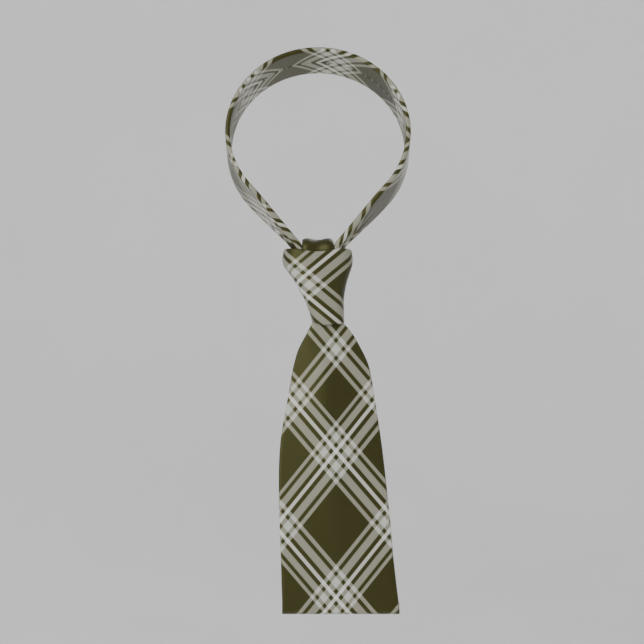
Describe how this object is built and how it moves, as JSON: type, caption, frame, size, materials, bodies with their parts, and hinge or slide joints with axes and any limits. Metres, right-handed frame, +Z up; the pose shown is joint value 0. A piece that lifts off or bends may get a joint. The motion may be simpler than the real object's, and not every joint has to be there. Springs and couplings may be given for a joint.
{
  "type": "necktie",
  "caption": "Plaid necktie tied in a four-in-hand knot with its neck loop, its broad blade folded under at the lower end and its tail held behind in a keeper loop.",
  "frame": {"origin": "centre of the neck loop's circle, where a collar holds it", "axes": "+Z up, towards the nape of the neck; -Y is the front face of the blade; +X is to the viewer's right"},
  "size_m": [0.1364, 0.0842, 0.413],
  "materials": {
    "printed_cloth": "satin",
    "interlining": "matte",
    "lining_satin": "satin",
    "thread": "matte",
    "label_tape": "satin"
  },
  "bodies": {
    "neck_band": {"neck_panel": "printed_cloth", "blade_side_panel": "printed_cloth", "tail_side_panel": "printed_cloth", "neck_interlining": "interlining", "panel_seams": "printed_cloth", "neck_slip_stitch": "thread", "active_arm": "printed_cloth", "passive_arm": "printed_cloth"},
    "knot": {"knot_front_wrap": "printed_cloth", "knot_back_wrap": "printed_cloth", "knot_top_fold": "printed_cloth", "knot_throat": "printed_cloth", "knot_inner_turn": "printed_cloth", "narrow_strand": "printed_cloth", "active_strand": "printed_cloth"},
    "front_blade": {"blade_neck": "printed_cloth", "blade_shell": "printed_cloth", "blade_interlining": "interlining", "blade_tipping": "lining_satin", "blade_slip_stitch": "thread", "blade_bar_tack": "thread", "keeper_loop": "printed_cloth", "blank_label": "label_tape", "blade_fold": "printed_cloth", "fold_interlining": "interlining", "tail_strap": "printed_cloth"},
    "tip_flap": {"tip_shell": "printed_cloth", "tip_interlining": "interlining", "tip_tipping": "lining_satin", "tip_hem": "printed_cloth"},
    "tail": {"tail_shell": "printed_cloth", "tail_interlining": "interlining", "tail_slip_stitch": "thread", "tail_fold": "printed_cloth"},
    "tail_end": {"tail_end_shell": "printed_cloth", "tail_end_interlining": "interlining", "tail_tipping": "lining_satin", "tail_bar_tack": "thread", "care_label": "label_tape"}
  },
  "joints": [
    {"name": "knot_slide", "type": "slide", "parent": "neck_band", "child": "knot", "axis": [0, 0, -1], "range_m": [0, 0.04], "deforming": ["active_arm", "passive_arm"]},
    {"name": "blade_swing", "type": "hinge", "parent": "knot", "child": "front_blade", "pos_m": [0.007, -0.0317, -0.1408], "axis": [-1, 0, 0], "range_deg": [0, 75], "deforming": ["blade_neck"]},
    {"name": "tip_unfold", "type": "hinge", "parent": "front_blade", "child": "tip_flap", "pos_m": [0.0165, -0.0298, -0.3446], "axis": [-1, 0, 0], "range_deg": [0, 180], "deforming": ["blade_fold", "fold_interlining"]},
    {"name": "tail_slide", "type": "slide", "parent": "front_blade", "child": "tail", "axis": [-0.0479, 0, 0.9988], "range_m": [0, 0.06], "deforming": ["tail_strap"]},
    {"name": "tail_unfold", "type": "hinge", "parent": "tail", "child": "tail_end", "pos_m": [0.0165, -0.0298, -0.3408], "axis": [-1, 0, 0], "range_deg": [0, 180], "deforming": ["tail_fold"]}
  ],
  "couplings": [
    {"joint": "tail_slide", "follows": "knot_slide", "ratio": 1.5},
    {"joint": "tail_unfold", "follows": "tip_unfold", "ratio": 1}
  ]
}
